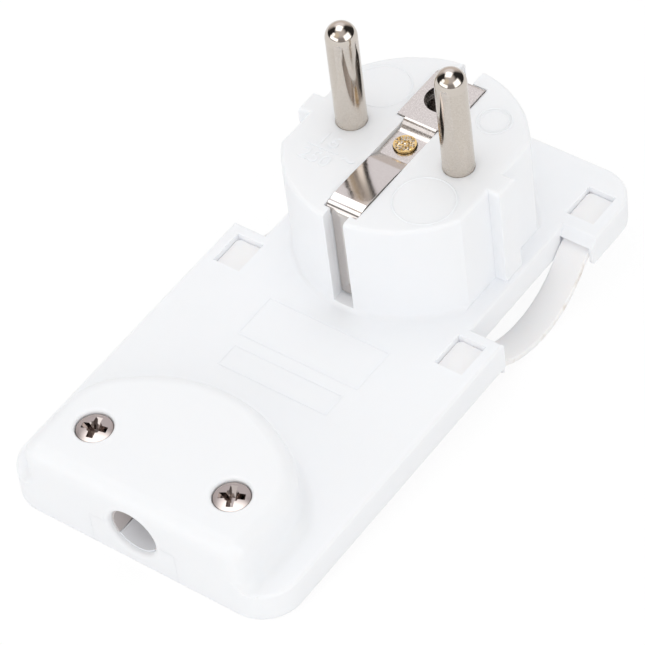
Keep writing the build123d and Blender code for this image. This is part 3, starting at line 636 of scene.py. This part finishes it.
def raised_figure(name, words, low_corner, high_corner):
    """A figure fitted between two corners on the face, in millimetres."""
    letters = bpy.data.curves.new(name, "FONT")
    letters.body = words
    letters.extrude = 0.1
    letter_object = bpy.data.objects.new(name, letters)
    bpy.context.scene.collection.objects.link(letter_object)
    graph = bpy.context.evaluated_depsgraph_get()
    mesh = bpy.data.meshes.new_from_object(letter_object.evaluated_get(graph))
    bpy.data.objects.remove(letter_object)
    shape = bmesh.new()
    shape.from_mesh(mesh)
    bmesh.ops.remove_doubles(shape, verts=shape.verts[:], dist=0.0001)
    low = Vector([min(corner.co[axis] for corner in shape.verts) for axis in range(3)])
    high = Vector([max(corner.co[axis] for corner in shape.verts) for axis in range(3)])
    size = high - low
    wanted = (
        (high_corner[0] - low_corner[0]) * MM,
        (high_corner[1] - low_corner[1]) * MM,
        FIGURE_HEIGHT + FIGURE_SINK,
    )
    corner = (low_corner[0] * MM, low_corner[1] * MM, face_z - FIGURE_SINK)
    bmesh.ops.translate(shape, verts=shape.verts[:], vec=-low)
    bmesh.ops.scale(shape, verts=shape.verts[:], vec=[w / s for w, s in zip(wanted, size)])
    bmesh.ops.translate(shape, verts=shape.verts[:], vec=corner)
    return add_piece(name, shape, mark_plastic, smooth_angle=30)


raised_figure("figure_current", "16", (-10.8, -6.35), (-8.0, -3.85))
raised_figure("figure_voltage", "250", (-12.2, -10.1), (-7.2, -7.75))
raised_figure("figure_wave", "~", (-6.2, -7.65), (-4.0, -6.75))

# %% Line between the figures
LINE_SIZE = (5.5 * MM, 0.3 * MM, FIGURE_HEIGHT + FIGURE_SINK)
LINE_MIDDLE = (-9.75 * MM, -7.0 * MM, face_z + (FIGURE_HEIGHT - FIGURE_SINK) / 2)
shape = bmesh.new()
bmesh.ops.create_cube(shape, size=1.0)
bmesh.ops.scale(shape, verts=shape.verts[:], vec=LINE_SIZE)
bmesh.ops.translate(shape, verts=shape.verts[:], vec=LINE_MIDDLE)
add_piece("figure_line", shape, mark_plastic)

# %% [markdown]
# ## Raised rings and frames
# Moulds often carry exchangeable inserts, which leave fine raised rings and frames on the
# plastic. Here they stay empty. A ring is a low trapezium spun once round, and a frame is
# the rim that an inset leaves on a rectangle, drawn up a little. Both start a hair below the
# surface, so that no gap shows under them.

# %% Rings on the face
MARK_SINK = 0.01


def raised_ring(name, centre, radius, width, height):
    """A low ring on the face, in millimetres."""
    profile = [
        (radius - width / 2, -MARK_SINK),
        (radius - width / 8, height),
        (radius + width / 8, height),
        (radius + width / 2, -MARK_SINK),
    ]
    shape = bmesh.new()
    corners = [shape.verts.new((r * MM, 0, z * MM)) for r, z in profile]
    edges = [shape.edges.new(pair) for pair in zip(corners, corners[1:] + corners[:1])]
    bmesh.ops.spin(
        shape,
        geom=corners + edges,
        cent=(0, 0, 0),
        axis=(0, 0, 1),
        angle=2 * math.pi,
        steps=96,
        use_merge=True,
    )
    bmesh.ops.translate(shape, verts=shape.verts[:], vec=(centre[0] * MM, centre[1] * MM, face_z))
    return add_piece(name, shape, mark_plastic, smooth_angle=25)


raised_ring("ring_front_right", (9.2, -8.3), 4.68, 0.36, 0.08)
raised_ring("ring_rear_right", (8.85, 10.2), 2.64, 0.28, 0.07)
raised_ring("ring_rear_right_inner", (8.85, 10.2), 2.1, 0.22, 0.05)
raised_ring("ring_rear_left", (-9.52, 8.02), 4.36, 0.34, 0.07)


# %% Frames on the plate
def raised_frame(name, low_corner, high_corner, width, height):
    """A low rectangular frame on the plate, in millimetres."""
    shape = bmesh.new()
    bmesh.ops.create_grid(shape, x_segments=1, y_segments=1, size=0.5)
    size = ((high_corner[0] - low_corner[0]) * MM, (high_corner[1] - low_corner[1]) * MM, 1.0)
    middle = ((low_corner[0] + high_corner[0]) / 2 * MM, (low_corner[1] + high_corner[1]) / 2 * MM)
    bmesh.ops.scale(shape, verts=shape.verts[:], vec=size)
    bmesh.ops.translate(shape, verts=shape.verts[:], vec=(*middle, plate_z - MARK_SINK * MM))
    inner = shape.faces[:]
    rim = bmesh.ops.inset_region(
        shape, faces=inner, thickness=width * MM, use_boundary=True, use_even_offset=True
    )["faces"]
    bmesh.ops.delete(shape, geom=inner, context="FACES")
    drawn = bmesh.ops.extrude_face_region(shape, geom=rim, use_keep_orig=True)["geom"]
    raised = [part for part in drawn if isinstance(part, bmesh.types.BMVert)]
    bmesh.ops.translate(shape, verts=raised, vec=(0, 0, (height + MARK_SINK) * MM))
    return add_piece(name, shape, mark_plastic)


raised_frame("frame_rear", (-10.5, -30.45), (11.05, -22.2), 0.2, 0.08)
raised_frame("frame_front", (-9.45, -36.72), (10.0, -32.4), 0.2, 0.08)

# %% [markdown]
# ## Pips under the front tabs
# A small round pip stands under the rear outer corner of each front tab and keeps the strap
# from wearing on the table. It is a plain cylinder with a rounded end.

# %% Pips
PIP_RADIUS = 0.3 * MM
PIP_LENGTH = 1.2 * MM
PIP_ROUND = 0.12 * MM
PIP_MIDDLE = Vector((23.95, -12.75, -0.45)) * MM
for side, sign in (("left", -1), ("right", 1)):
    shape = bmesh.new()
    bmesh.ops.create_cone(
        shape,
        cap_ends=True,
        segments=24,
        radius1=PIP_RADIUS,
        radius2=PIP_RADIUS,
        depth=PIP_LENGTH,
        matrix=Matrix.Translation((sign * PIP_MIDDLE.x, PIP_MIDDLE.y, PIP_MIDDLE.z)),
    )
    foot = min(shape.faces, key=lambda face: face.calc_center_median().z)
    bmesh.ops.bevel(
        shape, geom=foot.edges[:], offset=PIP_ROUND, segments=3, profile=0.5, affect="EDGES", material=-1
    )
    add_piece("tab_pip_" + side, shape, housing_plastic)

# %% [markdown]
# ## Floor
# The plug lies on its straps and on the lower edge of the cable end, so the table top leans
# a little against it. A plane through both resting places keeps the contact true.

# %% Floor plane
front_edge = Vector((0, housing_low.y, housing_low.z))
strap_bottom = Vector((0, -1.0 * MM, strap_low.z))
lean = math.atan2(front_edge.z - strap_bottom.z, strap_bottom.y - front_edge.y)
shape = bmesh.new()
bmesh.ops.create_grid(shape, x_segments=1, y_segments=1, size=2.0)
bmesh.ops.rotate(shape, verts=shape.verts[:], matrix=Matrix.Rotation(-lean, 3, "X"))
bmesh.ops.translate(shape, verts=shape.verts[:], vec=strap_bottom - Vector((0, 0, 0.02 * MM)))
floor_mesh = bpy.data.meshes.new("floor")
shape.to_mesh(floor_mesh)
shape.free()
floor = bpy.data.objects.new("floor", floor_mesh)
bpy.context.scene.collection.objects.link(floor)
print("floor leans by", round(math.degrees(lean), 2), "degrees")

# %% [markdown]
# ## Finish of the floor
# For the camera the floor is nearly pure white, and a small share of real shading stays in
# it to carry the soft shadow. Light Path tells the camera's rays from the others, which see
# plain white paper. Seen from below the floor is clear, so the back can be looked at.

# %% Floor finish
CAMERA_SHARE = 0.87
floor_white = bpy.data.materials.new("floor_white")
floor_white.use_nodes = True
floor_mesh.materials.append(floor_white)
tree = floor_white.node_tree
tree.nodes.remove(tree.nodes["Principled BSDF"])
paper = add_node(floor_white, "ShaderNodeBsdfDiffuse", Color=(0.9, 0.9, 0.9, 1.0))
glow = add_node(floor_white, "ShaderNodeEmission", Color=(1.0, 1.0, 1.0, 1.0), Strength=1.03)
ray = tree.nodes.new("ShaderNodeLightPath")
seen = add_node(floor_white, "ShaderNodeMath", [(ray.outputs["Is Camera Ray"], 0)])
seen.operation = "MULTIPLY"
seen.inputs[1].default_value = CAMERA_SHARE
top = add_node(floor_white, "ShaderNodeMixShader", [(seen.outputs["Value"], 0)])
tree.links.new(paper.outputs["BSDF"], top.inputs[1])
tree.links.new(glow.outputs["Emission"], top.inputs[2])
clear = add_node(floor_white, "ShaderNodeBsdfTransparent")
side = tree.nodes.new("ShaderNodeNewGeometry")
both = add_node(floor_white, "ShaderNodeMixShader", [(side.outputs["Backfacing"], 0)])
tree.links.new(top.outputs["Shader"], both.inputs[1])
tree.links.new(clear.outputs["BSDF"], both.inputs[2])
tree.links.new(both.outputs["Shader"], tree.nodes["Material Output"].inputs["Surface"])
print("made", floor_white.name)

# %% [markdown]
# ## Camera
# The camera stands far away with a long lens, above the right front corner of the plug.
# Its axes are built from an azimuth, an elevation and a roll, and go into its matrix as
# columns.

# %% Camera
azimuth = math.radians(41.73)
elevation = math.radians(47.29)
roll = math.radians(8.18)
eye = Vector((245.793, -298.937, 406.252)) * MM
level = Vector((math.cos(azimuth), math.sin(azimuth), 0))
back = Vector(
    (
        math.sin(azimuth) * math.cos(elevation),
        -math.cos(azimuth) * math.cos(elevation),
        math.sin(elevation),
    )
)
upright = back.cross(level)
right = math.cos(roll) * level - math.sin(roll) * upright
up = math.sin(roll) * level + math.cos(roll) * upright
camera_data = bpy.data.cameras.new("camera")
camera_data.sensor_width = 36.0
camera_data.lens = 209.15
camera_data.clip_start = 0.01
camera = bpy.data.objects.new("camera", camera_data)
bpy.context.scene.collection.objects.link(camera)
camera.matrix_world = Matrix(
    (
        (right.x, up.x, back.x, eye.x),
        (right.y, up.y, back.y, eye.y),
        (right.z, up.z, back.z, eye.z),
        (0, 0, 0, 1),
    )
)
bpy.context.scene.camera = camera
print("camera is", round(eye.length / MM), "mm away")

# %% [markdown]
# ## Light
# The plug lies in a light tent: an even white glow from all round, with four large softboxes
# that shape it a little, above, on both sides and in front. They light the plastic only. What
# the metal mirrors is set apart in the next step, so that its contrast can be tuned without
# changing the shading of the plastic.

# %% Softboxes
target = Vector((0, -20, 10)) * MM
away = -Vector((back.x, back.y, 0)).normalized()


def studio_direction(sideways, ahead, height):
    """A direction given as the camera sees the table: to the right, away from it, and up."""
    return (level * sideways + away * ahead + Vector((0, 0, height))).normalized()


def softbox(name, direction, distance, size, radiance):
    """A rectangular lamp that faces the plug and stays out of reflections."""
    data = bpy.data.lights.new(name, "AREA")
    data.shape = "RECTANGLE"
    data.size, data.size_y = size
    data.energy = radiance * size[0] * size[1] * math.pi
    lamp = bpy.data.objects.new(name, data)
    bpy.context.scene.collection.objects.link(lamp)
    lamp.location = target + direction * distance
    lamp.rotation_euler = direction.to_track_quat("Z", "Y").to_euler()
    lamp.visible_glossy = False
    print(name, "gives", round(data.energy, 2), "W")


above = studio_direction(-0.09, 0.26, 0.96)
left_front = studio_direction(-0.815, -0.495, 0.30)
right_front = studio_direction(0.67, -0.61, 0.42)
softbox("top_softbox", above, 0.55, (0.5, 0.35), 0.6)
softbox("left_softbox", left_front, 0.6, (0.4, 0.35), 0.65)
softbox("right_softbox", right_front, 0.6, (0.4, 0.4), 0.4)
softbox("front_softbox", studio_direction(0.0, -0.92, 0.40), 0.6, (0.5, 0.4), 0.55)

# %% [markdown]
# ## What the metal mirrors
# Nickel shows the room more than itself. The real room was dim, with a pale wall behind the
# table and three bright softboxes. The world draws it for mirrored rays only. Dot products of
# the view ray with a few directions say where a round patch or a square panel begins and ends.

# %% Helpers for the room
world = bpy.data.worlds.new("studio")
bpy.context.scene.world = world
world.use_nodes = True
tree = world.node_tree
tree.nodes.clear()
ray = tree.nodes.new("ShaderNodeLightPath")
heading = tree.nodes.new("ShaderNodeTexCoord").outputs["Generated"]


def facing(direction):
    """How far the view ray points along a direction, from -1 to 1."""
    dot = tree.nodes.new("ShaderNodeVectorMath")
    dot.operation = "DOT_PRODUCT"
    tree.links.new(heading, dot.inputs[0])
    dot.inputs[1].default_value = direction
    return dot.outputs["Value"]


def soft_step(value, none_at, full_at):
    """A smooth rise from 0 to 1 between two values."""
    edge = tree.nodes.new("ShaderNodeMapRange")
    edge.interpolation_type = "SMOOTHSTEP"
    tree.links.new(value, edge.inputs["Value"])
    edge.inputs["From Min"].default_value = none_at
    edge.inputs["From Max"].default_value = full_at
    return edge.outputs["Result"]


def combine(operation, *values):
    """Join one or two values by a Math node."""
    made = tree.nodes.new("ShaderNodeMath")
    made.operation = operation
    for socket, value in zip(made.inputs, values):
        tree.links.new(value, socket)
    return made.outputs["Value"]


def lay_over(below, share, colour):
    """Lay a colour over what is below it, by a share."""
    over = tree.nodes.new("ShaderNodeMix")
    over.data_type = "RGBA"
    tree.links.new(share, over.inputs[0])
    if isinstance(below, tuple):
        over.inputs[6].default_value = (*below, 1.0)
    else:
        tree.links.new(below, over.inputs[6])
    over.inputs[7].default_value = (*colour, 1.0)
    return over.outputs[2]


print("room helpers are ready")


# %% Patches and panels
def add_patch(below, direction, inner, outer, colour):
    """A round patch of light, from its middle to its soft edge in degrees."""
    share = soft_step(facing(direction), math.cos(math.radians(outer)), math.cos(math.radians(inner)))
    return lay_over(below, share, colour)


def add_panel(below, direction, turn, half_width, half_height, colour, soft=5):
    """A rectangular panel of light with soft edges, its turn and half sizes in degrees."""
    across = direction.cross(Vector((0, 0, 1))).normalized()
    turned = Matrix.Rotation(math.radians(turn), 3, direction) @ across
    share = soft_step(facing(direction), 0.0, 0.05)
    for axis, half in ((turned, half_width), (direction.cross(turned), half_height)):
        reach = combine("ABSOLUTE", facing(axis))
        edge = soft_step(reach, math.sin(math.radians(half + soft)), math.sin(math.radians(half - soft)))
        share = combine("MULTIPLY", share, edge)
    return lay_over(below, share, colour)


dim_corner = (0.03, 0.028, 0.027)
pale_wall = studio_direction(0.0, 1.0, 0.15)
low_front = studio_direction(0.0, -0.9, 0.45)
front_ceiling = studio_direction(-0.05, -0.35, 0.93)
warm_corner = studio_direction(-0.5, -0.45, 0.735)
left_window = studio_direction(-0.774, -0.19, 0.606)
rear_ceiling = studio_direction(0.0, 0.7, 0.7)
patch = add_patch(dim_corner, pale_wall, 24, 56, (0.72, 0.66, 0.63))
patch = add_patch(patch, low_front, 20, 60, (0.30, 0.28, 0.275))
patch = add_patch(patch, front_ceiling, 15, 45, (0.62, 0.585, 0.57))
patch = add_patch(patch, warm_corner, 4, 26, (0.75, 0.66, 0.54))
patch = add_patch(patch, left_window, 7, 15, (1.6, 1.57, 1.58))
patch = add_patch(patch, rear_ceiling, 10, 32, (0.95, 0.92, 0.95))
patch = add_panel(patch, above, 45, 18, 18, (2.8, 2.8, 2.8), soft=9)
patch = add_panel(patch, left_front, 0, 30, 10, (2.0, 2.0, 2.0), soft=6)
patch = add_panel(patch, right_front, 0, 23, 19, (2.2, 2.2, 2.2), soft=8)
print("the room has", len(tree.nodes), "nodes")

# %% [markdown]
# ## World
# Three backgrounds share the world. The camera sees plain white, mirrored rays see the room,
# and all other rays get the even glow that lights the plastic. White plastic passes light on
# many times, so more diffuse bounces than usual are allowed.

# %% World
glow = tree.nodes.new("ShaderNodeBackground")
glow.inputs["Color"].default_value = (1.0, 1.0, 1.0, 1.0)
glow.inputs["Strength"].default_value = 0.83
room = tree.nodes.new("ShaderNodeBackground")
tree.links.new(patch, room.inputs["Color"])
backdrop = tree.nodes.new("ShaderNodeBackground")
backdrop.inputs["Color"].default_value = (1.0, 1.0, 1.0, 1.0)
mirrored = tree.nodes.new("ShaderNodeMixShader")
tree.links.new(ray.outputs["Is Glossy Ray"], mirrored.inputs[0])
tree.links.new(glow.outputs["Background"], mirrored.inputs[1])
tree.links.new(room.outputs["Background"], mirrored.inputs[2])
seen = tree.nodes.new("ShaderNodeMixShader")
tree.links.new(ray.outputs["Is Camera Ray"], seen.inputs[0])
tree.links.new(mirrored.outputs["Shader"], seen.inputs[1])
tree.links.new(backdrop.outputs["Background"], seen.inputs[2])
surface = tree.nodes.new("ShaderNodeOutputWorld")
tree.links.new(seen.outputs["Shader"], surface.inputs["Surface"])
bpy.context.scene.view_settings.view_transform = "Standard"
bpy.context.scene.cycles.max_bounces = 16
bpy.context.scene.cycles.diffuse_bounces = 12
print("world glows with", glow.inputs["Strength"].default_value)
